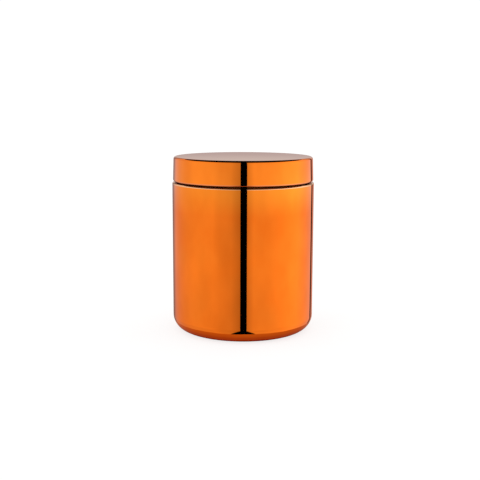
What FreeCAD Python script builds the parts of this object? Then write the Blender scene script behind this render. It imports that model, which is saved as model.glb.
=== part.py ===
import FreeCAD, Part
import Sketcher
import math
import os

# Candle tin with a slip-on lid, and the container candle inside it. The can and the lid are drawn from
# sheet metal, so each is one bent sheet turned about the vertical axis. Millimetres, +Z up, origin at the
# centre of the circle that the tin stands on.

DIMENSIONS = (
    ("sheet", 0.5, "thickness of the metal, everywhere"),
    ("can_radius", 40.0, "outside of the straight wall"),
    ("base_corner", 8.6, "outside radius between the wall and the base"),
    ("foot_radius", 29.0, "where the flat standing ring ends and the sheet turns up"),
    ("foot_bend", 1.3, "outside radius at the inner edge of the standing ring"),
    ("panel_radius", 26.2, "where the raised base panel becomes flat"),
    ("panel_bend", 0.8, "radius under the edge of the base panel"),
    ("panel_rise", 1.1, "underside of the base panel above the standing ring"),
    ("shoulder_height", 84.4, "ledge above the standing ring"),
    ("shoulder_bend", 0.9, "outside radius between the wall and the ledge"),
    ("neck_radius", 37.5, "outside of the neck that the lid slips over"),
    ("neck_root_bend", 0.4, "radius between the ledge and the neck"),
    ("rim_height", 96.1, "top of the curled rim"),
    ("rim_curl", 1.0, "outside radius of the inward curl at the mouth"),
    ("lid_top_height", 98.8, "top of the closed tin"),
    ("lid_top_radius", 39.25, "outside of the lid at its top edge"),
    ("lid_edge_bend", 1.4, "outside radius round the lid's top"),
    ("lid_foot_radius", 39.6, "outside of the lid at its lower edge"),
    ("lid_foot_height", 85.05, "lower edge of the closed lid"),
    ("lid_curl", 0.98, "outside radius of the inward curl at the lower edge"),
    ("liner_radius", 37.9, "foam disc inside the lid"),
    ("liner_thickness", 2.1, "foam disc, resting just above the rim"),
    ("liner_edge", 0.3, "rounding round the foam disc"),
    ("wax_gap", 0.05, "shrinkage gap between wax and metal"),
    ("wax_height", 82.0, "level of the wax, just under the shoulder"),
    ("wax_meniscus", 0.9, "radius of the wax where it climbs the wall"),
    ("wick_radius", 1.25, "braided cotton wick"),
    ("wick_height", 94.0, "tip of the wick, clear of the closed lid"),
    ("wick_tip", 0.4, "rounding at the tip of the wick"),
    ("sticker_radius", 10.0, "adhesive foam disc that holds the wick"),
    ("sticker_thickness", 0.8, "adhesive foam disc"),
    ("tab_radius", 9.5, "flat disc of the wick sustainer"),
    ("tab_thickness", 0.4, "flat disc of the wick sustainer"),
    ("tab_collar_wall", 0.4, "metal round the wick"),
    ("tab_collar_height", 3.4, "collar above the underside of the disc"),
)

LEFT = 1
RIGHT = -1
CURL_TURN = 270.0  # how far a curled edge is rolled round, in degrees
START, END, CENTRE = 1, 2, 3  # the points of a sketch edge
ORIGIN, VERTICAL_AXIS = -1, -2  # what every sketch has already

doc = FreeCAD.newDocument("candle_tin")
sheet = doc.addObject("Spreadsheet::Sheet", "dims")
for row, (alias, number, note) in enumerate(DIMENSIONS, start=1):
    sheet.set(f"A{row}", alias)
    sheet.set(f"B{row}", str(number))
    sheet.set(f"C{row}", note)
    sheet.setAlias(f"B{row}", alias)
doc.recompute()


class Length:
    """A length worked out from the sheet's cells: its value, and the expression that yields it."""

    def __init__(self, text, number):
        self.text = text
        self.number = number

    def __add__(self, other):
        return Length(f"{self.text} + {other.text}", self.number + other.number)

    def __sub__(self, other):
        return Length(f"{self.text} - ({other.text})", self.number - other.number)


class Bend:
    """A bend in a section of sheet: its arc's centre, its radius on the outside face and the way it turns."""

    def __init__(self, across, up, radius, turn):
        self.across = across
        self.up = up
        self.radius = radius
        self.turn = turn

    def radius_at(self, inset, inside):
        """The radius of the face that lies inset from the outside face, towards the side called inside."""
        return self.radius - inset if self.turn == inside else self.radius + inset

    def point(self, heading, radius):
        """Where a path that goes round the bend is when it points along heading, in degrees."""
        angle = math.radians(heading - self.turn * 90.0)
        return (
            self.across.number + radius * math.cos(angle),
            self.up.number + radius * math.sin(angle),
        )


def size(alias):
    return Length(f"dims.{alias}", float(sheet.get(alias)))


NOTHING = Length("0", 0.0)
SHEET = size("sheet")

CAN_BENDS = (
    Bend(size("panel_radius"), size("panel_rise") - size("panel_bend"), size("panel_bend"), RIGHT),
    Bend(size("foot_radius"), size("foot_bend"), size("foot_bend"), LEFT),
    Bend(size("can_radius") - size("base_corner"), size("base_corner"), size("base_corner"), LEFT),
    Bend(
        size("can_radius") - size("shoulder_bend"),
        size("shoulder_height") - size("shoulder_bend"),
        size("shoulder_bend"),
        LEFT,
    ),
    Bend(
        size("neck_radius") + size("neck_root_bend"),
        size("shoulder_height") + size("neck_root_bend"),
        size("neck_root_bend"),
        RIGHT,
    ),
    Bend(
        size("neck_radius") - size("rim_curl"),
        size("rim_height") - size("rim_curl"),
        size("rim_curl"),
        LEFT,
    ),
)
BASE_BENDS = CAN_BENDS[:3]
LID_BENDS = (
    Bend(
        size("lid_top_radius") - size("lid_edge_bend"),
        size("lid_top_height") - size("lid_edge_bend"),
        size("lid_edge_bend"),
        RIGHT,
    ),
    Bend(
        size("lid_foot_radius") - size("lid_curl"),
        size("lid_foot_height") + size("lid_curl"),
        size("lid_curl"),
        RIGHT,
    ),
)


def new_body(name):
    body = doc.addObject("PartDesign::Body", name)
    body.Label = name
    return body


def new_sketch(body, name, plane):
    """A sketch on one of the body's own origin planes. On XZ_Plane it draws across in +X and up in +Z."""
    sketch = body.newObject("Sketcher::SketchObject", name)
    support = next(feature for feature in body.Origin.OriginFeatures if feature.Role == plane)
    sketch.AttachmentSupport = [(support, "")]
    sketch.MapMode = "FlatFace"
    return sketch


def rule(sketch, *terms):
    sketch.addConstraint(Sketcher.Constraint(*terms))


def bind(sketch, length, *terms):
    """Adds a dimension whose value comes from the sheet."""
    index = sketch.addConstraint(Sketcher.Constraint(*terms, length.number))
    sketch.setExpression(f"Constraints[{index}]", length.text)


def add_line(sketch, start, end):
    return sketch.addGeometry(Part.LineSegment(FreeCAD.Vector(*start), FreeCAD.Vector(*end)), False)


def add_arc(sketch, centre, radius, start_angle, end_angle):
    """An arc, counter-clockwise between two angles in degrees."""
    circle = Part.Circle(FreeCAD.Vector(*centre), FreeCAD.Vector(0, 0, 1), radius)
    arc = Part.ArcOfCircle(circle, math.radians(start_angle), math.radians(end_angle))
    return sketch.addGeometry(arc, False)


def heading_between(bend, following, inset, inside):
    """The direction of the straight that leaves one bend and enters the following one, in degrees."""
    across = following.across.number - bend.across.number
    up = following.up.number - bend.up.number
    offset = (
        following.turn * following.radius_at(inset, inside).number
        - bend.turn * bend.radius_at(inset, inside).number
    )
    return math.degrees(math.atan2(up, across) - math.asin(offset / math.hypot(across, up)))


def add_bend(sketch, bend, inset, inside, enter, leave):
    """Adds a bend's arc. Returns its index, and the ends where the path enters it and leaves it."""
    radius = bend.radius_at(inset, inside)
    centre = (bend.across.number, bend.up.number)
    if bend.turn == LEFT:
        arc = add_arc(sketch, centre, radius.number, enter - 90.0, leave - 90.0)
        ends = (START, END)
    else:
        arc = add_arc(sketch, centre, radius.number, leave + 90.0, enter + 90.0)
        ends = (END, START)
    bind(sketch, radius, "Radius", arc)
    bind(sketch, bend.across, "DistanceX", ORIGIN, START, arc, CENTRE)
    bind(sketch, bend.up, "DistanceY", ORIGIN, START, arc, CENTRE)
    return arc, *ends


def add_face(sketch, bends, inset, inside, last_turn):
    """Adds one face of a bent sheet: a level line out from the axis, then arcs and straights in tangent.

    inset is its distance from the outside face. The last bend turns by last_turn degrees. Returns the first
    line, and the last arc with the end where the path leaves it."""
    enter = 0.0
    last = None
    for number, bend in enumerate(bends):
        radius = bend.radius_at(inset, inside).number
        if last is None:
            entry = bend.point(enter, radius)
            straight = first = add_line(sketch, (0.0, entry[1]), entry)
            rule(sketch, "Horizontal", first)
            rule(sketch, "PointOnObject", first, START, VERTICAL_AXIS)
        else:
            straight = add_line(sketch, last_point, bend.point(enter, radius))
            rule(sketch, "Tangent", last[0], last[2], straight, START)
        if number + 1 < len(bends):
            leave = heading_between(bend, bends[number + 1], inset, inside)
            leave += 360.0 if (leave - enter) * bend.turn < -180.0 else 0.0
        else:
            leave = enter + bend.turn * last_turn
        last = add_bend(sketch, bend, inset, inside, enter, leave)
        rule(sketch, "Tangent", straight, END, last[0], last[1])
        last_point = bend.point(leave, radius)
        enter = leave
    return first, last[0], last[2]


def add_joining_line(sketch, first, first_end, second, second_end):
    """Closes a gap between two edges with a straight line."""
    start = sketch.getPoint(first, first_end)
    end = sketch.getPoint(second, second_end)
    line = add_line(sketch, (start.x, start.y), (end.x, end.y))
    rule(sketch, "Coincident", first, first_end, line, START)
    rule(sketch, "Coincident", second, second_end, line, END)
    return line


def add_steps(sketch, floor, steps):
    """A closed stepped outline beside the axis, from the floor up. A step is (radius, height of its top)."""
    corners = [(NOTHING, floor)]
    below = floor
    for radius, top in steps:
        corners += [(radius, below), (radius, top)]
        below = top
    corners.append((NOTHING, below))
    points = [(across.number, up.number) for across, up in corners]
    lines = [add_line(sketch, start, end) for start, end in zip(points, points[1:] + points[:1])]
    for line, following in zip(lines, lines[1:] + lines[:1]):
        rule(sketch, "Coincident", line, END, following, START)
    for number, line in enumerate(lines):
        rule(sketch, "Horizontal" if number % 2 == 0 else "Vertical", line)
    rule(sketch, "PointOnObject", lines[0], START, VERTICAL_AXIS)
    bind(sketch, floor, "DistanceY", ORIGIN, START, lines[0], START)
    for number, (radius, top) in enumerate(steps):
        rising = lines[2 * number + 1]
        bind(sketch, radius, "DistanceX", ORIGIN, START, rising, END)
        bind(sketch, top, "DistanceY", ORIGIN, START, rising, END)
    return lines


def revolve(body, sketch, name, kind="PartDesign::Revolution"):
    feature = body.newObject(kind, name)
    feature.Profile = sketch
    feature.ReferenceAxis = (sketch, ["V_Axis"])
    feature.Angle = 360.0
    sketch.Visibility = False
    return feature


def circle_sketch(body, name, radius, base):
    """A sketch of one circle about the axis, on a level plane at height base."""
    sketch = new_sketch(body, name, "XY_Plane")
    sketch.setExpression(".AttachmentOffset.Base.z", base.text)
    outline = Part.Circle(FreeCAD.Vector(0, 0, 0), FreeCAD.Vector(0, 0, 1), radius.number)
    circle = sketch.addGeometry(outline, False)
    rule(sketch, "Coincident", circle, CENTRE, ORIGIN, START)
    bind(sketch, radius, "Radius", circle)
    sketch.Visibility = False
    return sketch


def pad_disc(body, name, radius, base, thickness):
    """A flat round piece, padded upwards from height base."""
    pad = body.newObject("PartDesign::Pad", name + "_pad")
    pad.Profile = circle_sketch(body, name + "_circle", radius, base)
    pad.setExpression("Length", thickness.text)
    return pad


def check_cut(before, after):
    """Stops the script if a cut takes nothing away, as one that points away from the solid does."""
    doc.recompute()
    if after.Shape.Volume >= before.Shape.Volume:
        raise RuntimeError(f"{after.Name} cuts nothing out of {before.Name}")


def fillet(body, base, name, radius, chosen):
    """Rounds the edges of a feature for which chosen is true."""
    doc.recompute()
    edges = [f"Edge{i}" for i, edge in enumerate(base.Shape.Edges, start=1) if chosen(edge)]
    feature = body.newObject("PartDesign::Fillet", name)
    feature.Base = (base, edges)
    feature.setExpression("Radius", radius.text)
    return feature


def is_level_circle(edge, height):
    """Whether an edge is a whole circle lying level at a height."""
    tolerance = 1e-4
    level = abs(edge.BoundBox.ZMin - height) < tolerance and abs(edge.BoundBox.ZMax - height) < tolerance
    return level and edge.Closed


def drawn_sheet(name, bends, inside):
    """A piece drawn from one round sheet, with a curled edge: its section turned about the axis."""
    body = new_body(name)
    sketch = new_sketch(body, name + "_section", "XZ_Plane")
    outer_line, outer_arc, outer_end = add_face(sketch, bends, NOTHING, inside, CURL_TURN)
    inner_line, inner_arc, inner_end = add_face(sketch, bends, SHEET, inside, CURL_TURN)
    rule(sketch, "Vertical", outer_arc, outer_end, outer_arc, CENTRE)
    rule(sketch, "Vertical", inner_arc, inner_end, inner_arc, CENTRE)
    add_joining_line(sketch, outer_arc, outer_end, inner_arc, inner_end)
    add_joining_line(sketch, outer_line, START, inner_line, START)
    revolve(body, sketch, name + "_turned")
    return body


def make_lid_liner():
    """The foam disc lies against the underside of the lid's top."""
    body = new_body("lid_liner")
    underside = size("lid_top_height") - SHEET - size("liner_thickness")
    pad = pad_disc(body, "lid_liner", size("liner_radius"), underside, size("liner_thickness"))
    fillet(body, pad, "lid_liner_edge", size("liner_edge"), lambda edge: edge.Closed)
    return body


def make_wax_fill():
    """The wax fills the can, climbs the wall a little and closes round the wick and its tab."""
    body = new_body("wax_fill")
    sketch = new_sketch(body, "wax_fill_section", "XZ_Plane")
    shrunk = SHEET + size("wax_gap")
    bottom, corner, corner_end = add_face(sketch, BASE_BENDS, shrunk, LEFT, 90.0)
    wall = size("can_radius") - shrunk
    level, climb = size("wax_height"), size("wax_meniscus")
    crest = level + climb
    start = sketch.getPoint(corner, corner_end)
    side = add_line(sketch, (start.x, start.y), (wall.number, crest.number))
    rule(sketch, "Tangent", corner, corner_end, side, START)
    rule(sketch, "Vertical", side)
    meniscus = add_arc(sketch, ((wall - climb).number, crest.number), climb.number, -90.0, 0.0)
    rule(sketch, "Coincident", side, END, meniscus, END)
    rule(sketch, "Horizontal", meniscus, END, meniscus, CENTRE)
    bind(sketch, climb, "Radius", meniscus)
    surface = add_line(sketch, ((wall - climb).number, level.number), (0.0, level.number))
    rule(sketch, "Tangent", meniscus, START, surface, START)
    rule(sketch, "Horizontal", surface)
    rule(sketch, "PointOnObject", surface, END, VERTICAL_AXIS)
    bind(sketch, level, "DistanceY", ORIGIN, START, surface, END)
    add_joining_line(sketch, surface, END, bottom, START)
    block = revolve(body, sketch, "wax_fill_block")
    floor = size("panel_rise") + SHEET
    tab_base = floor + size("sticker_thickness")
    steps = (
        (size("sticker_radius"), tab_base),
        (size("tab_radius"), tab_base + size("tab_thickness")),
        (size("wick_radius") + size("tab_collar_wall"), tab_base + size("tab_collar_height")),
        (size("wick_radius"), level + climb),
    )
    pocket = new_sketch(body, "wax_fill_pocket", "XZ_Plane")
    add_steps(pocket, floor, steps)
    hollow = revolve(body, pocket, "wax_fill_hollow", "PartDesign::Groove")
    check_cut(block, hollow)
    return body


def make_wick():
    """The wick stands on the sticker, through the tab's collar, and its tip is trimmed above the wax."""
    body = new_body("wick")
    base = size("panel_rise") + SHEET + size("sticker_thickness")
    pad = pad_disc(body, "wick", size("wick_radius"), base, size("wick_height") - base)
    tip = size("wick_height").number
    fillet(body, pad, "wick_tip", size("wick_tip"), lambda edge: is_level_circle(edge, tip))
    return body


def make_wick_sustainer():
    """The metal tab: a flat disc, and a collar round the wick."""
    body = new_body("wick_sustainer")
    base = size("panel_rise") + SHEET + size("sticker_thickness")
    steps = (
        (size("tab_radius"), base + size("tab_thickness")),
        (size("wick_radius") + size("tab_collar_wall"), base + size("tab_collar_height")),
    )
    sketch = new_sketch(body, "wick_sustainer_section", "XZ_Plane")
    add_steps(sketch, base, steps)
    turned = revolve(body, sketch, "wick_sustainer_turned")
    hole = body.newObject("PartDesign::Pocket", "wick_sustainer_hole")
    hole.Profile = circle_sketch(body, "wick_sustainer_hole_circle", size("wick_radius"), base)
    hole.Type = "ThroughAll"
    hole.Reversed = True
    check_cut(turned, hole)
    return body


def make_wick_sticker():
    """The adhesive foam disc between the base panel and the tab."""
    body = new_body("wick_sticker")
    floor = size("panel_rise") + SHEET
    pad_disc(body, "wick_sticker", size("sticker_radius"), floor, size("sticker_thickness"))
    return body


pieces = (
    drawn_sheet("can_body", CAN_BENDS, LEFT),
    drawn_sheet("lid_shell", LID_BENDS, RIGHT),
    make_lid_liner(),
    make_wax_fill(),
    make_wick(),
    make_wick_sustainer(),
    make_wick_sticker(),
)
doc.recompute()

for item in doc.Objects:
    if "Invalid" in item.State or "Error" in item.State:
        raise RuntimeError(f"{item.Name} failed: {item.State}")
    if item.TypeId == "Sketcher::SketchObject" and not item.FullyConstrained:
        raise RuntimeError(f"sketch {item.Name} is not fully constrained")

os.makedirs("parts", exist_ok=True)
for piece in pieces:
    if piece.Shape.isNull() or not piece.Shape.isValid():
        raise RuntimeError(f"{piece.Label} has no valid shape")
    piece.Shape.exportStep(f"parts/{piece.Label}.step")
    box = piece.Shape.optimalBoundingBox()
    heights = f"z {box.ZMin:.2f} to {box.ZMax:.2f}"
    print(f"{piece.Label}: {piece.Shape.Volume:.1f} mm3, {heights}, across {box.XLength:.2f}")
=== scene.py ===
"""Looks of the candle tin: the drawn can and its slip-on lid, the candle inside, and a small photo
studio round them.

Everything is in metres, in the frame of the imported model. Sizes come from its nodes where they can be
measured."""

import math

import bmesh
import bpy
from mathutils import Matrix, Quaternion, Vector


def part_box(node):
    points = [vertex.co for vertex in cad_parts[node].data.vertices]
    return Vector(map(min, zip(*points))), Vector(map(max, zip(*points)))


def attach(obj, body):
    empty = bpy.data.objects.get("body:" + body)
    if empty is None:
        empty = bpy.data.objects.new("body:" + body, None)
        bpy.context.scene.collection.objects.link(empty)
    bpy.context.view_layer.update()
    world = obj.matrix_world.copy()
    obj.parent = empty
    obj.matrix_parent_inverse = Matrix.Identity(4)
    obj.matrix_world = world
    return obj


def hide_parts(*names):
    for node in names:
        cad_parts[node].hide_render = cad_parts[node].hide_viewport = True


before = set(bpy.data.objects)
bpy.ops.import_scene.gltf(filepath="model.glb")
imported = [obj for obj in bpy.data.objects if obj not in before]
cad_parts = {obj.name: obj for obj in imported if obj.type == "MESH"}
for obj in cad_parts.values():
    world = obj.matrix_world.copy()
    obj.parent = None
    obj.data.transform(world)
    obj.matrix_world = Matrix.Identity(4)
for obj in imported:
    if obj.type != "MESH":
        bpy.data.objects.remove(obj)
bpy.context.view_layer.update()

MM = 0.001
SEGMENTS = 256  # round the axis
ARC_STEP = math.radians(6.0)
LEAST_STEPS = 3  # round any bend
LONGEST_EDGE = 4.0 * MM  # along an outline
ON_AXIS = 1e-9
LEFT, RIGHT = 1, -1

can_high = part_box("can_body")[1]
lid_low, lid_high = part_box("lid_shell")
liner_low, liner_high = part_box("lid_liner")
wax_low, wax_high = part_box("wax_fill")
wick_low, wick_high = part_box("wick")
tab_low, tab_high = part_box("wick_sustainer")
sticker_low, sticker_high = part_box("wick_sticker")

CAN_RADIUS = can_high.x
RIM_HEIGHT = can_high.z
LID_RADIUS = lid_high.x
LID_TOP = lid_high.z
LID_FOOT = lid_low.z
SHEET = LID_TOP - liner_high.z
BASE_CORNER = 8.6 * MM
FOOT_RADIUS = 29.0 * MM
FOOT_BEND = 1.3 * MM
PANEL_RADIUS = 26.2 * MM
PANEL_BEND = 0.8 * MM
PANEL_RISE = sticker_low.z - SHEET
SHOULDER_HEIGHT = 84.4 * MM
SHOULDER_BEND = 0.9 * MM
NECK_RADIUS = 37.5 * MM
NECK_ROOT_BEND = 0.4 * MM
RIM_CURL = 1.0 * MM
LID_TOP_RADIUS = 39.25 * MM
LID_EDGE_BEND = 1.4 * MM
LID_CURL = 0.98 * MM
CURL_TURN = math.radians(270.0)
EDGE_LAYER = "sharpness"


# ---------------------------------------------------------------- outlines

class Bend:
    """A bend in a section of sheet: its arc's centre, its outside radius and the way it turns."""

    def __init__(self, across, up, radius, turn):
        self.across = across
        self.up = up
        self.radius = radius
        self.turn = turn

    def radius_at(self, inset, inside):
        """The radius of the face that lies inset from the outside face, towards the side called inside."""
        return self.radius - inset if self.turn == inside else self.radius + inset


def heading_between(bend, following, inset, inside):
    """The direction of the straight that leaves one bend and enters the following one."""
    across = following.across - bend.across
    up = following.up - bend.up
    offset = following.turn * following.radius_at(inset, inside) - bend.turn * bend.radius_at(inset, inside)
    return math.atan2(up, across) - math.asin(offset / math.hypot(across, up))


def arc_points(bend, radius, enter, leave):
    """Points round a bend as (across, up, normal across, normal up), with the normal to the path's right."""
    steps = max(LEAST_STEPS, math.ceil(abs(leave - enter) / ARC_STEP))
    points = []
    for step in range(steps + 1):
        heading = enter + (leave - enter) * step / steps
        angle = heading - bend.turn * math.pi / 2
        across = bend.across + radius * math.cos(angle)
        up = bend.up + radius * math.sin(angle)
        points.append((across, up, math.sin(heading), -math.cos(heading)))
    return points


def face_points(bends, inset, inside, last_turn):
    """One face of a bent sheet, from the axis outwards through its bends, as arc_points gives them."""
    points = []
    enter = 0.0
    for number, bend in enumerate(bends):
        if number + 1 < len(bends):
            leave = heading_between(bend, bends[number + 1], inset, inside)
            leave += math.tau if (leave - enter) * bend.turn < -math.pi else 0.0
        else:
            leave = enter + bend.turn * last_turn
        points += arc_points(bend, bend.radius_at(inset, inside), enter, leave)
        enter = leave
    start = (0.0, points[0][1], points[0][2], points[0][3])
    return [start] + points


CAN_BENDS = (
    Bend(PANEL_RADIUS, PANEL_RISE - PANEL_BEND, PANEL_BEND, RIGHT),
    Bend(FOOT_RADIUS, FOOT_BEND, FOOT_BEND, LEFT),
    Bend(CAN_RADIUS - BASE_CORNER, BASE_CORNER, BASE_CORNER, LEFT),
    Bend(CAN_RADIUS - SHOULDER_BEND, SHOULDER_HEIGHT - SHOULDER_BEND, SHOULDER_BEND, LEFT),
    Bend(NECK_RADIUS + NECK_ROOT_BEND, SHOULDER_HEIGHT + NECK_ROOT_BEND, NECK_ROOT_BEND, RIGHT),
    Bend(NECK_RADIUS - RIM_CURL, RIM_HEIGHT - RIM_CURL, RIM_CURL, LEFT),
)
LID_BENDS = (
    Bend(LID_TOP_RADIUS - LID_EDGE_BEND, LID_TOP - LID_EDGE_BEND, LID_EDGE_BEND, RIGHT),
    Bend(LID_RADIUS - LID_CURL, LID_FOOT + LID_CURL, LID_CURL, RIGHT),
)


# ---------------------------------------------------------------- meshes

def reversed_face(points):
    """The same face run the other way, with its normals still out of the metal."""
    result = []
    for across, up, normal_across, normal_up in reversed(points):
        result.append((across, up, -normal_across, -normal_up))
    return result


def straight(start, end):
    """A straight stretch between two outline points, with the normal to its right."""
    across, up = end[0] - start[0], end[1] - start[1]
    length = math.hypot(across, up)
    normal = (up / length, -across / length)
    return [(start[0], start[1], *normal), (end[0], end[1], *normal)]


def subdivided(points, longest):
    """The outline with its long straights cut into lengths of at most longest."""
    result = [points[0]]
    for start, end in zip(points, points[1:]):
        length = math.hypot(end[0] - start[0], end[1] - start[1])
        pieces = max(1, math.ceil(length / longest))
        for piece in range(1, pieces + 1):
            share = piece / pieces
            result.append(tuple(a + (b - a) * share for a, b in zip(start, end)))
    return result


def smoothed(points):
    """A smooth outline through points, each with a normal square to the line between its neighbours."""
    result = []
    for number, (across, up) in enumerate(points):
        before, after = points[max(0, number - 1)], points[min(len(points) - 1, number + 1)]
        length = math.hypot(after[0] - before[0], after[1] - before[1])
        result.append((across, up, (after[1] - before[1]) / length, (before[0] - after[0]) / length))
    return result


def lathe(name, stretches):
    """A closed piece turned about the axis. stretches is a list of (outline points, material) that
    together run once round the section with the solid on their left. Neighbours share their vertices,
    but each keeps its own exact normals, so an edge between them is sharp where the normals differ."""
    outlines = [subdivided(outline, LONGEST_EDGE) for outline, _ in stretches]
    is_ring = outlines[0][0][0] > ON_AXIS  # such a section closes on its own first row
    verts, faces, corner_normals, indices, materials, sharpness = [], [], [], [], [], []
    first_row = None
    last_row = None
    for outline, (_, material) in zip(outlines, stretches):
        if material not in materials:
            materials.append(material)
        rows = []
        for number, (across, up, *_) in enumerate(outline):
            closes = is_ring and outline is outlines[-1] and number == len(outline) - 1
            if number == 0 and last_row is not None:
                rows.append(last_row)
            elif closes:
                rows.append(first_row)
            elif across < ON_AXIS:
                rows.append([len(verts)])
                verts.append((0.0, 0.0, up))
            else:
                rows.append(list(range(len(verts), len(verts) + SEGMENTS)))
                angles = (math.tau * segment / SEGMENTS for segment in range(SEGMENTS))
                verts += [(across * math.cos(angle), across * math.sin(angle), up) for angle in angles]
            sharpness += [bend_sharpness(outline, number)] * (len(verts) - len(sharpness))
        if first_row is None:
            first_row = rows[0]
        for number in range(len(outline) - 1):
            add_band(faces, corner_normals, rows[number : number + 2], outline[number : number + 2])
            indices += [materials.index(material)] * SEGMENTS
        last_row = rows[-1]
    mesh = bpy.data.meshes.new(name)
    mesh.from_pydata(verts, [], faces)
    for material in materials:
        mesh.materials.append(material)
    mesh.polygons.foreach_set("material_index", indices)
    mesh.polygons.foreach_set("use_smooth", [True] * len(faces))
    mesh.normals_split_custom_set(corner_normals)
    mesh.attributes.new(EDGE_LAYER, "FLOAT", "POINT").data.foreach_set("value", sharpness)
    piece = bpy.data.objects.new(name, mesh)
    bpy.context.scene.collection.objects.link(piece)
    return piece


def bend_sharpness(outline, number):
    """How tightly the outline bends outwards round a point: its curvature, per metre, or 0 where hollow."""
    before, after = outline[max(0, number - 1)], outline[min(len(outline) - 1, number + 1)]
    length = math.hypot(after[0] - before[0], after[1] - before[1])
    turn = before[2] * after[3] - before[3] * after[2]
    return max(0.0, turn / length) if length else 0.0


def add_band(faces, corner_normals, rows, ends):
    """The faces between two neighbouring rows of a turned piece, with the normals of their corners."""
    lower, upper = rows
    for segment in range(SEGMENTS):
        following = (segment + 1) % SEGMENTS
        here = math.tau * segment / SEGMENTS
        there = math.tau * following / SEGMENTS
        corners = [(lower, 0, segment, here), (lower, 0, following, there)]
        corners += [(upper, 1, following, there), (upper, 1, segment, here)]
        if len(lower) == 1:
            corners.pop(1)
        if len(upper) == 1:
            corners.pop(-1)
        faces.append([row[position if len(row) > 1 else 0] for row, _, position, _ in corners])
        for _, end, _, angle in corners:
            _, _, normal_across, normal_up = ends[end]
            length = math.hypot(normal_across, normal_up)
            radial = normal_across / length
            corner_normals.append((radial * math.cos(angle), radial * math.sin(angle), normal_up / length))


def sheet_section(bends, inside, outer_finish, inner_finish):
    """The stretches of a bent sheet's section: its two faces, joined by the cut edge of its curl."""
    outside = face_points(bends, 0.0, inside, CURL_TURN)
    within = face_points(bends, SHEET, inside, CURL_TURN)
    if inside == LEFT:
        first, first_finish, second, second_finish = outside, outer_finish, within, inner_finish
    else:
        first, first_finish, second, second_finish = within, inner_finish, outside, outer_finish
    cut = straight(first[-1], second[-1])
    return [(first, first_finish), (cut, inner_finish), (reversed_face(second), second_finish)]


# ---------------------------------------------------------------- materials

MIX_FACTOR = 0  # where a Mix node for colours has its sockets
MIX_COLOURS = (6, 7)
MIX_RESULT = 2
# Painted highlight: tight outward bends get a paler lacquer colour, which stands for light along them.
PALE_EDGE_HIGHLIGHT = (0.96, 0.5, 0.26)
HIGHLIGHT_BENDS = (950.0, 1110.0)  # curvature per metre at which the painted highlight starts, and is strongest; the lacquer thins there too
# Painted shade: the colour that narrow gaps in the lacquer are painted.
PAINTED_GAP_SHADE = (0.0, 0.0, 0.0)


def new_material(name):
    """A material with a Principled shader. Returns it, its node tree and that shader."""
    material = bpy.data.materials.new(name)
    material.use_nodes = True
    tree = material.node_tree
    return material, tree, tree.nodes["Principled BSDF"]


def noise(tree, scale, detail=2.0, roughness=0.5, stretch=(1.0, 1.0, 1.0)):
    """Fractal noise over the piece, in cells per metre, stretched along its axes. Returns the Fac output."""
    place = tree.nodes.new("ShaderNodeTexCoord")
    mapping = tree.nodes.new("ShaderNodeMapping")
    mapping.inputs["Scale"].default_value = stretch
    texture = tree.nodes.new("ShaderNodeTexNoise")
    texture.inputs["Scale"].default_value = scale
    texture.inputs["Detail"].default_value = detail
    texture.inputs["Roughness"].default_value = roughness
    tree.links.new(place.outputs["Object"], mapping.inputs["Vector"])
    tree.links.new(mapping.outputs["Vector"], texture.inputs["Vector"])
    return texture.outputs["Fac"]


def ranged(tree, value, low, high, source=(0.3, 0.7)):
    """A value that runs over source, spread over the range from low to high and held at its ends."""
    node = tree.nodes.new("ShaderNodeMapRange")
    node.inputs["From Min"].default_value = source[0]
    node.inputs["From Max"].default_value = source[1]
    node.inputs["To Min"].default_value = low
    node.inputs["To Max"].default_value = high
    tree.links.new(value, node.inputs["Value"])
    return node.outputs["Result"]


def colours(tree, value, stops):
    """A colour for each value, between two stops of (position, colour)."""
    ramp = tree.nodes.new("ShaderNodeValToRGB")
    for element, (position, colour) in zip(ramp.color_ramp.elements, stops):
        element.position = position
        element.color = (*colour, 1.0)
    tree.links.new(value, ramp.inputs["Fac"])
    return ramp.outputs["Color"]


def bumped(tree, shader, heights):
    """Bumps a shader by several heights, given as (value, distance in metres)."""
    normal = None
    for value, distance in heights:
        bump = tree.nodes.new("ShaderNodeBump")
        bump.inputs["Distance"].default_value = distance
        tree.links.new(value, bump.inputs["Height"])
        if normal is not None:
            tree.links.new(normal, bump.inputs["Normal"])
        normal = bump.outputs["Normal"]
    tree.links.new(normal, shader.inputs["Normal"])


def mixed(tree, share, first, second):
    """A mix of two colours by an output from 0 to 1. Each colour is a tuple or an output."""
    node = tree.nodes.new("ShaderNodeMix")
    node.data_type = "RGBA"
    tree.links.new(share, node.inputs[MIX_FACTOR])
    for socket, colour in zip(MIX_COLOURS, (first, second)):
        if isinstance(colour, tuple):
            node.inputs[socket].default_value = (*colour, 1.0)
        else:
            tree.links.new(colour, node.inputs[socket])
    return node.outputs[MIX_RESULT]


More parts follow.
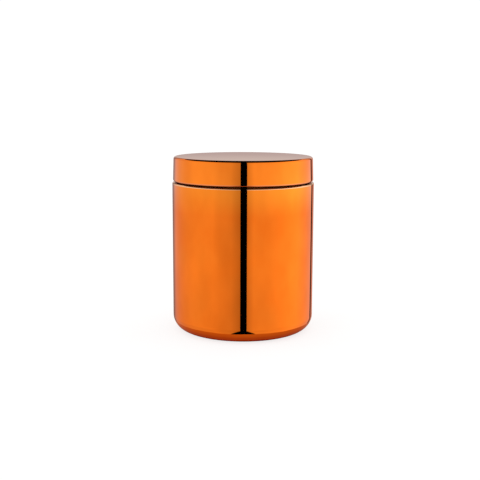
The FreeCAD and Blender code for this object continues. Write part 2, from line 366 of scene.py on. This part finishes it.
def lacquered_mirror_painted_light(name, gap_reach, gap_range, own_gaps):
    """Bright plating under transparent orange lacquer: a mirror, hardly wavy, with a slightly uneven
    film. Tight outward bends are painted paler, a painted highlight where the film also thins. Narrow
    gaps are painted black by ambient occlusion, painted shade: gap_reach is how far across a gap may be,
    gap_range is how open it is where it is black and where it is not dark at all, and own_gaps leaves out
    the gaps to other pieces."""
    material, tree, shader = new_material(name)
    film = noise(tree, 55.0, detail=3.0)
    shade = colours(tree, film, ((0.3, (0.92, 0.171, 0.011)), (0.7, (0.94, 0.193, 0.0145))))
    # Painted highlight: the base colour pales where the section bends tightly outwards.
    edge = tree.nodes.new("ShaderNodeAttribute")
    edge.attribute_name = EDGE_LAYER
    edge_highlight = ranged(tree, edge.outputs["Fac"], 0.0, 1.0, source=HIGHLIGHT_BENDS)
    shade = mixed(tree, edge_highlight, shade, PALE_EDGE_HIGHLIGHT)
    # Painted shade: ambient occlusion darkens the base colour to black in narrow gaps, where shade falls.
    gap = tree.nodes.new("ShaderNodeAmbientOcclusion")
    gap.samples = 8
    gap.only_local = own_gaps
    gap.inputs["Distance"].default_value = gap_reach
    unshaded = ranged(tree, gap.outputs["AO"], 0.0, 1.0, source=gap_range)
    tree.links.new(mixed(tree, unshaded, PAINTED_GAP_SHADE, shade), shader.inputs["Base Color"])
    shader.inputs["Metallic"].default_value = 1.0
    shader.inputs["Specular Tint"].default_value = (1.0, 0.8, 0.76, 1.0)
    tree.links.new(ranged(tree, noise(tree, 160.0, detail=4.0), 0.015, 0.03), shader.inputs["Roughness"])
    waves = noise(tree, 110.0, detail=1.0)
    peel = noise(tree, 900.0, detail=2.0)
    bumped(tree, shader, ((waves, 5e-6), (peel, 1e-7)))
    return material


def bare_tinplate(name):
    """The unprinted side of the sheet: grey metal with the faint upright lines that drawing leaves."""
    material, tree, shader = new_material(name)
    grain = noise(tree, 260.0, detail=4.0, roughness=0.65, stretch=(1.0, 1.0, 0.06))
    patches = noise(tree, 35.0, detail=3.0)
    shade = colours(tree, patches, ((0.3, (0.46, 0.46, 0.46)), (0.7, (0.54, 0.54, 0.53))))
    tree.links.new(shade, shader.inputs["Base Color"])
    shader.inputs["Metallic"].default_value = 0.8
    tree.links.new(ranged(tree, grain, 0.24, 0.34), shader.inputs["Roughness"])
    bumped(tree, shader, ((grain, 2.5e-6),))
    return material


def cell_foam(name, tint, cell):
    """Closed-cell foam, with cells of the given size showing in its skin."""
    material, tree, shader = new_material(name)
    place = tree.nodes.new("ShaderNodeTexCoord")
    cells = tree.nodes.new("ShaderNodeTexVoronoi")
    cells.inputs["Scale"].default_value = 1.0 / cell
    tree.links.new(place.outputs["Object"], cells.inputs["Vector"])
    walls = cells.outputs["Distance"]
    darker = tuple(0.88 * channel for channel in tint)
    tree.links.new(colours(tree, walls, ((0.1, tint), (0.9, darker))), shader.inputs["Base Color"])
    tree.links.new(ranged(tree, noise(tree, 600.0), 0.55, 0.8), shader.inputs["Roughness"])
    shader.inputs["Subsurface Weight"].default_value = 0.25
    shader.inputs["Subsurface Radius"].default_value = (1.0, 1.0, 0.9)
    shader.inputs["Subsurface Scale"].default_value = 0.8 * MM
    bumped(tree, shader, ((walls, 0.08 * MM), (noise(tree, 3000.0, detail=3.0), 0.02 * MM)))
    return material


def poured_wax(name):
    """Ivory container wax: light goes a few millimetres in, and the skin is faintly mottled and frosted."""
    material, tree, shader = new_material(name)
    mottle = noise(tree, 120.0, detail=5.0, roughness=0.6)
    shade = colours(tree, mottle, ((0.3, (0.96, 0.89, 0.72)), (0.72, (0.99, 0.94, 0.81))))
    tree.links.new(shade, shader.inputs["Base Color"])
    frost = noise(tree, 900.0, detail=6.0, roughness=0.7)
    tree.links.new(ranged(tree, frost, 0.32, 0.58), shader.inputs["Roughness"])
    shader.inputs["Subsurface Weight"].default_value = 0.6
    shader.inputs["Subsurface Radius"].default_value = (1.0, 0.75, 0.5)
    shader.inputs["Subsurface Scale"].default_value = 4.0 * MM
    shader.inputs["Coat Weight"].default_value = 0.3
    shader.inputs["Coat Roughness"].default_value = 0.2
    bumped(tree, shader, ((mottle, 0.12 * MM), (frost, 0.01 * MM)))
    return material


def waxed_cotton(name):
    """Bleached cotton yarn that has drunk wax: fine fibres along the strand, and a soft sheen."""
    material, tree, shader = new_material(name)
    fibres = noise(tree, 2600.0, detail=4.0, roughness=0.6, stretch=(1.0, 1.0, 0.35))
    shade = colours(tree, fibres, ((0.3, (0.88, 0.84, 0.74)), (0.7, (0.98, 0.96, 0.91))))
    tree.links.new(shade, shader.inputs["Base Color"])
    tree.links.new(ranged(tree, fibres, 0.5, 0.8), shader.inputs["Roughness"])
    shader.inputs["Subsurface Weight"].default_value = 0.2
    shader.inputs["Subsurface Radius"].default_value = (1.0, 0.85, 0.6)
    shader.inputs["Subsurface Scale"].default_value = 0.5 * MM
    shader.inputs["Sheen Weight"].default_value = 0.2
    bumped(tree, shader, ((fibres, 0.05 * MM),))
    return material


def stamped_tin(name):
    """The small tab's metal, with the straight rolling lines of its strip."""
    material, tree, shader = new_material(name)
    rolling = noise(tree, 700.0, detail=4.0, roughness=0.7, stretch=(0.05, 1.0, 1.0))
    shade = colours(tree, rolling, ((0.3, (0.6, 0.6, 0.58)), (0.7, (0.76, 0.76, 0.74))))
    tree.links.new(shade, shader.inputs["Base Color"])
    shader.inputs["Metallic"].default_value = 1.0
    tree.links.new(ranged(tree, rolling, 0.24, 0.4), shader.inputs["Roughness"])
    bumped(tree, shader, ((rolling, 1e-5),))
    return material


def glow(name):
    """A light's face. Its vertices hold how brightly each place shines, and its cloth is a little uneven."""
    material = bpy.data.materials.new(name)
    material.use_nodes = True
    tree = material.node_tree
    tree.nodes.clear()
    output = tree.nodes.new("ShaderNodeOutputMaterial")
    emission = tree.nodes.new("ShaderNodeEmission")
    light = tree.nodes.new("ShaderNodeVertexColor")
    light.layer_name = "light"
    tree.links.new(light.outputs["Color"], emission.inputs["Color"])
    clouds = noise(tree, 1.0, detail=2.0, stretch=(2.4, 2.4, 16.0))
    tree.links.new(ranged(tree, clouds, 0.94, 1.06), emission.inputs["Strength"])
    tree.links.new(emission.outputs["Emission"], output.inputs["Surface"])
    material.cycles.emission_sampling = "NONE"
    return material


# ---------------------------------------------------------------- the tin

def make_can():
    """The can, drawn from one sheet: lacquered outside and bare inside."""
    # The lacquer has painted shade in the can's own narrow gaps, such as round the neck's root.
    outside = lacquered_mirror_painted_light("can_lacquer_painted_light", 3.2 * MM, (0.66, 0.97), own_gaps=True)
    inside = bare_tinplate("can_inside")
    can = lathe("can_body_drawn", sheet_section(CAN_BENDS, LEFT, outside, inside))
    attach(can, "tin")
    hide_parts("can_body")


def make_lid():
    """The slip-on lid, from the same sheet as the can."""
    # The lacquer has painted shade in narrow gaps, also those to the can, such as under the lid's curl.
    outside = lacquered_mirror_painted_light("lid_lacquer_painted_light", 2.5 * MM, (0.48, 0.82), own_gaps=False)
    inside = bare_tinplate("lid_inside")
    lid = lathe("lid_shell_drawn", sheet_section(LID_BENDS, RIGHT, outside, inside))
    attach(lid, "lid")
    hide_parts("lid_shell")


# ---------------------------------------------------------------- the candle and the foam discs

WAX_GAP = wax_low.z - SHEET
WAX_LEVEL = wax_high.z - 0.9 * MM  # between the climbs at the wall and at the wick
WAX_WALL = wax_high.x
MENISCUS = wax_high.z - WAX_LEVEL
WICK_RADIUS = wick_high.x
WICK_CLIMB = 0.45 * MM  # how far the wax creeps up the wick
CLIMB_REACH = 2.2 * MM
TAB_SHEET = 0.4 * MM
COLLAR_RADIUS = WICK_RADIUS + TAB_SHEET
TAB_TOP = tab_low.z + TAB_SHEET  # of its disc, round the collar
CLIMB_FALL = (CLIMB_REACH - WICK_RADIUS) / 2  # over this the climb at the wick falls to 1/e
WAX_DISH = 0.12 * MM
MENISCUS_STEPS = 8
SURFACE_STEPS = 24
FOAM_STEPS = 96
SEAL_DEPTH = 0.18 * MM  # of the ring that the rim has pressed into the foam
SEAL_WIDTH = 0.8 * MM
LINER_EDGE = 0.3 * MM
STICKER_EDGE = 0.25 * MM
STRANDS = 4  # of the braid, each way round
STRAND_RADIUS = 0.29 * MM
STRAND_SIDES = 8
BRAID_RADIUS = 0.74 * MM
BRAID_WEAVE = 0.17 * MM
BRAID_PITCH = 7.0 * MM
BRAID_STEP = 0.3 * MM
CORE_RADIUS = BRAID_RADIUS - 0.1 * MM
CORE_DEPTH = 0.6 * MM  # how far the core ends below the tip
TRIM = 0.5 * MM  # of which the strands lose none, a quarter, a half or three quarters
OFF_AXIS = 1e-6  # so that the core has an outward side


def edge_arc(across, up, radius, start, end):
    """Outline points round a small edge, between two headings in degrees."""
    return arc_points(Bend(across, up, radius, LEFT), radius, math.radians(start), math.radians(end))


def make_wax():
    """Poured wax: it follows the can below, climbs a little at wall and wick, and is dished between."""
    wax = poured_wax("poured_wax")
    below = face_points(CAN_BENDS[:3], SHEET + WAX_GAP, LEFT, math.pi / 2)[1:]
    below = [(sticker_high.x, below[0][1], 0.0, -1.0)] + below
    crest = (WAX_WALL, wax_high.z)
    side = straight(below[-1][:2], crest)
    surface = [crest]
    for step in range(1, MENISCUS_STEPS + 1):
        angle = math.pi / 2 * step / MENISCUS_STEPS
        across = crest[0] - MENISCUS * math.sin(angle)
        surface.append((across, crest[1] - MENISCUS * (1 - math.cos(angle)) ** 0.5))
    inner = surface[-1][0]
    for step in range(1, SURFACE_STEPS + 1):
        across = inner + (WICK_RADIUS - inner) * step / SURFACE_STEPS
        dish = WAX_DISH * math.sin(math.pi * (across - WICK_RADIUS) / (inner - WICK_RADIUS))
        climb = WICK_CLIMB * math.exp(-(across - WICK_RADIUS) / CLIMB_FALL)
        surface.append((across, WAX_LEVEL - dish + climb))
    # The wax fits round the wick, the tab's collar and disc, and the sticker.
    corners = [
        surface[-1],
        (WICK_RADIUS, tab_high.z),
        (COLLAR_RADIUS, tab_high.z),
        (COLLAR_RADIUS, TAB_TOP),
        (tab_high.x, TAB_TOP),
        (tab_high.x, tab_low.z),
        (sticker_high.x, tab_low.z),
        below[0][:2],
    ]
    hollow = [(straight(start, end), wax) for start, end in zip(corners, corners[1:])]
    piece = lathe("wax_poured", [(below, wax), (side, wax), (smoothed(surface), wax)] + hollow)
    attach(piece, "tin")
    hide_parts("wax_fill")


def make_foam_disc(name, low, high, rounding, material, pressed=0.0):
    """A foam disc with rounded edges. pressed is how deep a ring the can's rim has left under it."""
    radius = high.x
    ring = NECK_RADIUS - RIM_CURL
    underside = []
    for step in range(FOAM_STEPS + 1):
        across = (radius - rounding) * step / FOAM_STEPS
        underside.append((across, low.z + pressed * math.exp(-(((across - ring) / SEAL_WIDTH) ** 2))))
    lower = edge_arc(radius - rounding, low.z + rounding, rounding, 0.0, 90.0)
    upper = edge_arc(radius - rounding, high.z - rounding, rounding, 90.0, 180.0)
    top = [(radius - rounding, high.z, 0.0, 1.0), (0.0, high.z, 0.0, 1.0)]
    return lathe(name, [(smoothed(underside), material), (lower + upper + top, material)])


def make_liner():
    """The foam disc in the lid, which seals the mouth."""
    foam = cell_foam("liner_foam", (0.86, 0.85, 0.82), 0.7 * MM)
    liner = make_foam_disc("liner_disc", liner_low, liner_high, LINER_EDGE, foam, SEAL_DEPTH)
    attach(liner, "lid")
    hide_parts("lid_liner")


def make_sticker():
    """The adhesive foam disc that holds the wick's tab on the base."""
    foam = cell_foam("sticker_foam", (0.8, 0.8, 0.77), 0.4 * MM)
    sticker = make_foam_disc("sticker_disc", sticker_low, sticker_high, STICKER_EDGE, foam)
    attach(sticker, "tin")
    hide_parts("wick_sticker")


def add_strand(mesh, path, radius):
    """Adds a round strand along a path to a bmesh, closed at both ends."""
    rings = []
    for number, point in enumerate(path):
        along = (path[min(number + 1, len(path) - 1)] - path[max(number - 1, 0)]).normalized()
        outwards = Vector((point.x, point.y, 0.0)).normalized()
        across = along.cross(outwards).normalized()
        outwards = across.cross(along)
        ring = []
        for side in range(STRAND_SIDES):
            angle = math.tau * side / STRAND_SIDES
            offset = across * math.cos(angle) + outwards * math.sin(angle)
            ring.append(mesh.verts.new(point + offset * radius))
        rings.append(ring)
    for ring, following in zip(rings, rings[1:]):
        for side in range(STRAND_SIDES):
            after = (side + 1) % STRAND_SIDES
            mesh.faces.new((ring[side], ring[after], following[after], following[side]))
    mesh.faces.new(reversed(rings[0]))
    mesh.faces.new(rings[-1])


def braid_path(number, way, low, high):
    """The middle of one strand of the braid: a helix that goes over and under those that cross it."""
    steps = math.ceil((high - low) / BRAID_STEP)
    points = []
    for step in range(steps + 1):
        height = low + (high - low) * step / steps
        turn = math.tau * height / BRAID_PITCH
        angle = math.tau * number / STRANDS + way * turn
        radius = BRAID_RADIUS + way * BRAID_WEAVE * math.cos(STRANDS * turn)
        points.append(Vector((radius * math.cos(angle), radius * math.sin(angle), height)))
    return points


def make_wick():
    """A braided cotton wick. Its strands are trimmed a little unevenly at the tip."""
    mesh = bmesh.new()
    low = wick_low.z + STRAND_RADIUS
    high = wick_high.z - STRAND_RADIUS
    for number in range(STRANDS):
        for way in (LEFT, RIGHT):
            trimmed = high - TRIM * ((3 * number + way) % STRANDS) / STRANDS
            add_strand(mesh, braid_path(number, way, low, trimmed), STRAND_RADIUS)
    core = [Vector((OFF_AXIS, 0.0, low)), Vector((OFF_AXIS, 0.0, high - CORE_DEPTH))]
    add_strand(mesh, core, CORE_RADIUS)
    bmesh.ops.recalc_face_normals(mesh, faces=mesh.faces)
    for face in mesh.faces:
        face.smooth = len(face.verts) == 4  # the sides, but not the ends
    data = bpy.data.meshes.new("wick_braid")
    mesh.to_mesh(data)
    mesh.free()
    data.materials.append(waxed_cotton("wick_cotton"))
    wick = bpy.data.objects.new("wick_braid", data)
    bpy.context.scene.collection.objects.link(wick)
    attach(wick, "tin")
    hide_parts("wick")


make_can()
make_lid()
make_wax()
make_liner()
make_sticker()
make_wick()
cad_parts["wick_sustainer"].material_slots[0].material = stamped_tin("tab_metal")


# ---------------------------------------------------------------- the studio

TENT_RADIUS = 0.7
TENT_LOW, TENT_HIGH = -1.0, 0.54
TENT_COLUMN = 1.0  # degrees
TENT_ROW = 0.01
TENT_COARSE_ROW = 0.05
TENT_FINE_TO = 0.2  # the height, up and down, within which its rows are fine

# How bright the tent is round the tin, by direction in degrees from the front, to the right when positive.
LEFT_WALL = (
    (-164.0, 0.28),
    (-153.0, 0.28),
    (-147.0, 0.55),
    (-138.0, 0.8),
    (-105.0, 0.9),
    (-85.0, 0.97),
    (-48.0, 0.98),
    (-36.0, 0.86),
    (-18.0, 0.79),
    (-4.0, 0.55),
)
RIGHT_WALL = (
    (6.3, 0.7),
    (17.0, 0.98),
    (40.0, 1.01),
    (60.0, 1.12),
    (82.0, 1.3),
    (96.0, 1.33),
    (137.0, 0.95),
    (142.0, 0.9),
)
BACKDROP_EDGES = (149.0, 196.0)

# The colour of the walls' light by height: brightest and bluest a little above the table.
LAMPS = (
    (-0.3, (0.88, 0.88, 0.88)),
    (-0.12, (0.97, 0.97, 0.97)),
    (-0.085, (1.0, 1.02, 1.0)),
    (-0.02, (1.0, 1.0, 1.0)),
    (0.0, (1.03, 1.25, 1.35)),
    (0.018, (1.07, 1.48, 1.75)),
    (0.06, (1.06, 1.28, 1.5)),
    (0.1, (1.05, 1.22, 1.35)),
    (0.2, (1.05, 1.15, 1.15)),
)

# The backdrop's light by height.
BACKDROP = (
    (0.05, (0.62, 0.43, 0.32)),
    (0.11, (0.51, 0.42, 0.36)),
    (0.139, (0.51, 0.515, 0.51)),
    (0.1473, (0.46, 0.52, 0.53)),
    (0.1485, (0.63, 0.72, 0.69)),
    (0.17, (0.63, 0.77, 0.77)),
)

# Beside the front gap the walls are dark below an elevation that falls with the angle from its middle.
GAP_MIDDLE = 1.0
GAP_FOOT = ((6.0, -26.0), (26.0, -52.0))
GAP_FOOT_SOFTNESS = 3.0
GAP_FOOT_REACH = 30.0

# A glowing disc round the tin's foot, seen only in reflections: a painted reflection of the table there,
# with painted shadow and the tin's orange glow on it. This is its light by distance from the axis.
PAINTED_FOOT_REFLECTION = (
    (34.0 * MM, (0.1, 0.01, 0.0)),
    (35.0 * MM, (0.22, 0.03, 0.0)),
    (36.0 * MM, (0.33, 0.16, 0.08)),
    (38.0 * MM, (0.38, 0.2, 0.14)),
    (40.0 * MM, (0.47, 0.31, 0.22)),
    (44.0 * MM, (0.56, 0.38, 0.22)),
)
SPILL_RADIUS = 44.2 * MM
SPILL_RAGGEDNESS = 0.4 * MM
SPILL_RAGS = ((0.5, 7.0, 0.0), (0.3, 23.0, 1.0), (0.2, 61.0, 0.0))  # share, times round, phase

SPILL_START = 0.5  # the share of its radius from which it is built, well under the tin
SPILL_COLUMN = 2.0  # degrees
SPILL_ROW = 0.02  # as a share of its radius

# A glowing plane seen only in reflections, which stands for the table further out: a painted reflection in
# orange.
PAINTED_FAR_TABLE = (0.85, 0.36, 0.16)
FAR_TABLE_ROWS = (0.0, 0.5, 1.0)  # as shares of its radius
FAR_TABLE_COLUMN = 10.0  # degrees
HALF_ROUND = 180.0
FLOOR_RADIUS = 6.0
FLOOR_HEIGHT = -0.1 * MM  # just clear of the tin's foot
FLOOR_SIDES = 64


def between(stops, value):
    """The value of a curve through stops, level beyond its ends. Each stop is (where, number or colour)."""
    if value <= stops[0][0]:
        return stops[0][1]
    for (start, before), (end, after) in zip(stops, stops[1:]):
        if value <= end:
            share = (value - start) / (end - start)
            if isinstance(before, tuple):
                return tuple(a + (b - a) * share for a, b in zip(before, after))
            return before + (after - before) * share
    return stops[-1][1]


def wall_light(wall):
    """The light of a side wall, which is dark beside the foot of the gap that the camera looks through."""

    def light(azimuth, height):
        elevation = math.degrees(math.atan2(height, TENT_RADIUS))
        foot = between(GAP_FOOT, abs(azimuth - GAP_MIDDLE))
        shade = 1.0
        if abs(azimuth) < GAP_FOOT_REACH:
            shade = min(1.0, max(0.0, (elevation - foot) / GAP_FOOT_SOFTNESS))
        brightness = between(wall, azimuth) * shade
        return tuple(brightness * channel for channel in between(LAMPS, height))

    return light


def back_light(azimuth, height):
    """The light of the backdrop, which is the same all along it."""
    return between(BACKDROP, height)


def reflected_only(piece):
    """Puts a light on the stage, where it shows only in reflections."""
    piece.visible_camera = False
    piece.visible_diffuse = False
    piece.visible_transmission = False
    piece.visible_shadow = False


def shining_grid(name, columns, rows, place, light):
    """A light's face: a grid with vertices at place(column, row) that shine with light(column, row)."""
    verts = [place(column, row) for column in columns for row in rows]
    tints = [(*light(column, row), 1.0) for column in columns for row in rows]
    count = len(rows)
    faces = []
    for column in range(len(columns) - 1):
        for row in range(count - 1):
            corner = column * count + row
            faces.append((corner, corner + count, corner + count + 1, corner + 1))
    mesh = bpy.data.meshes.new(name)
    mesh.from_pydata(verts, [], faces)
    layer = mesh.color_attributes.new("light", "FLOAT_COLOR", "POINT")
    for number, tint in enumerate(tints):
        layer.data[number].color = tint
    mesh.materials.append(glow(name + "_glow"))
    face = bpy.data.objects.new(name, mesh)
    bpy.context.scene.collection.objects.link(face)
    reflected_only(face)


def spaced(start, end, step):
    """Evenly spaced values from start to end."""
    count = max(1, round(abs(end - start) / step))
    return [start + (end - start) * number / count for number in range(count + 1)]


def make_tent():
    """Two soft walls of light beside the tin and a backdrop behind it, bent round it and seen only in it."""

    def place(azimuth, height):
        angle = math.radians(azimuth)
        return (TENT_RADIUS * math.sin(angle), -TENT_RADIUS * math.cos(angle), height)

    rows = spaced(TENT_LOW, -TENT_FINE_TO, TENT_COARSE_ROW)[:-1]
    rows += spaced(-TENT_FINE_TO, TENT_FINE_TO, TENT_ROW)
    rows += spaced(TENT_FINE_TO, TENT_HIGH, TENT_COARSE_ROW)[1:]
    walls = (
        ("left_wall", LEFT_WALL[0][0], LEFT_WALL[-1][0], wall_light(LEFT_WALL)),
        ("right_wall", RIGHT_WALL[0][0], RIGHT_WALL[-1][0], wall_light(RIGHT_WALL)),
        ("back_wall", *BACKDROP_EDGES, back_light),
    )
    for name, start, end, light in walls:
        shining_grid(name, spaced(start, end, TENT_COLUMN), rows, place, light)


def make_painted_far_table():
    """The table further out, as the edges that face down mirror it: a glowing plane, a painted reflection.
    """

    def place(azimuth, share):
        angle = math.radians(azimuth)
        return (share * TENT_RADIUS * math.sin(angle), -share * TENT_RADIUS * math.cos(angle), TENT_LOW)

    columns = spaced(-HALF_ROUND, HALF_ROUND, FAR_TABLE_COLUMN)
    shining_grid("painted_far_table", columns, FAR_TABLE_ROWS, place, lambda *_: PAINTED_FAR_TABLE)


def make_painted_foot_reflection():
    """A glowing disc that stands for the table round the tin's foot, with painted shadow and orange glow, as
    the tin's lower corner mirrors it. Its edge is a little ragged.
    """

    def place(azimuth, share):
        angle = math.radians(azimuth)
        ragged = sum(part * math.sin(times * angle + phase) for part, times, phase in SPILL_RAGS)
        radius = share * (SPILL_RADIUS + SPILL_RAGGEDNESS * ragged)
        return (radius * math.sin(angle), -radius * math.cos(angle), 0.0)

    def light(azimuth, share):
        return between(PAINTED_FOOT_REFLECTION, share * SPILL_RADIUS)

    columns = spaced(-HALF_ROUND, HALF_ROUND, SPILL_COLUMN)
    shining_grid("painted_foot_reflection", columns, spaced(SPILL_START, 1.0, SPILL_ROW), place, light)


def level_disc(name, radius, height, material):
    """A flat round floor."""
    mesh = bpy.data.meshes.new(name)
    angles = spaced(0.0, math.tau, math.tau / FLOOR_SIDES)[:-1]
    rim = [(radius * math.cos(angle), radius * math.sin(angle), height) for angle in angles]
    mesh.from_pydata(rim, [], [range(len(rim))])
    mesh.materials.append(material)
    disc = bpy.data.objects.new(name, mesh)
    bpy.context.scene.collection.objects.link(disc)
    return disc


def make_floor():
    """A plain white floor that also shines a little itself, so that the tin's shadow on it is faint."""
    material, tree, shader = new_material("floor_paper")
    shade = colours(tree, noise(tree, 12.0), ((0.3, (0.22, 0.22, 0.22)), (0.7, (0.24, 0.24, 0.24))))
    tree.links.new(shade, shader.inputs["Base Color"])
    shader.inputs["Emission Color"].default_value = (1.0, 1.0, 1.0, 1.0)
    shader.inputs["Emission Strength"].default_value = 0.8
    shader.inputs["Roughness"].default_value = 0.9
    shader.inputs["Specular IOR Level"].default_value = 0.0
    floor = level_disc("floor", FLOOR_RADIUS, FLOOR_HEIGHT, material)
    floor.visible_glossy = False


def make_world():
    """Even white light from all round, which the tin does not mirror."""
    world = bpy.data.worlds.new("studio")
    bpy.context.scene.world = world
    world.use_nodes = True
    world.node_tree.nodes["Background"].inputs["Color"].default_value = (1.0, 1.0, 1.0, 1.0)
    world.node_tree.nodes["Background"].inputs["Strength"].default_value = 1.05
    world.cycles_visibility.glossy = False


CAMERA_DISTANCE = 0.5
CAMERA_HEIGHT = 131.46 * MM
CAMERA_PITCH = 0.1598  # radians, like yaw and roll
CAMERA_YAW = 0.00335
CAMERA_ROLL = 0.0026
FOCAL_LENGTH = 66.35  # millimetres, as is the sensor's width
SENSOR_WIDTH = 36.0


def make_camera():
    """The camera stands in front of the tin, a little above its lid, and looks slightly down."""
    data = bpy.data.cameras.new("camera")
    data.lens = FOCAL_LENGTH
    data.sensor_width = SENSOR_WIDTH
    data.clip_start = 0.01
    camera = bpy.data.objects.new("camera", data)
    camera.location = (0.0, -CAMERA_DISTANCE, CAMERA_HEIGHT)
    camera.rotation_mode = "QUATERNION"
    forward = Vector((-math.sin(CAMERA_YAW), math.cos(CAMERA_YAW), 0.0)) * math.cos(CAMERA_PITCH)
    forward.z = -math.sin(CAMERA_PITCH)
    turn = forward.to_track_quat("-Z", "Y")
    roll = Quaternion((0.0, 0.0, 1.0), CAMERA_ROLL)
    camera.rotation_quaternion = turn @ roll
    bpy.context.scene.collection.objects.link(camera)
    bpy.context.scene.camera = camera


make_tent()
make_painted_far_table()
make_painted_foot_reflection()
make_floor()
make_world()
make_camera()
bpy.context.scene.view_settings.view_transform = "Standard"

bpy.context.view_layer.update()
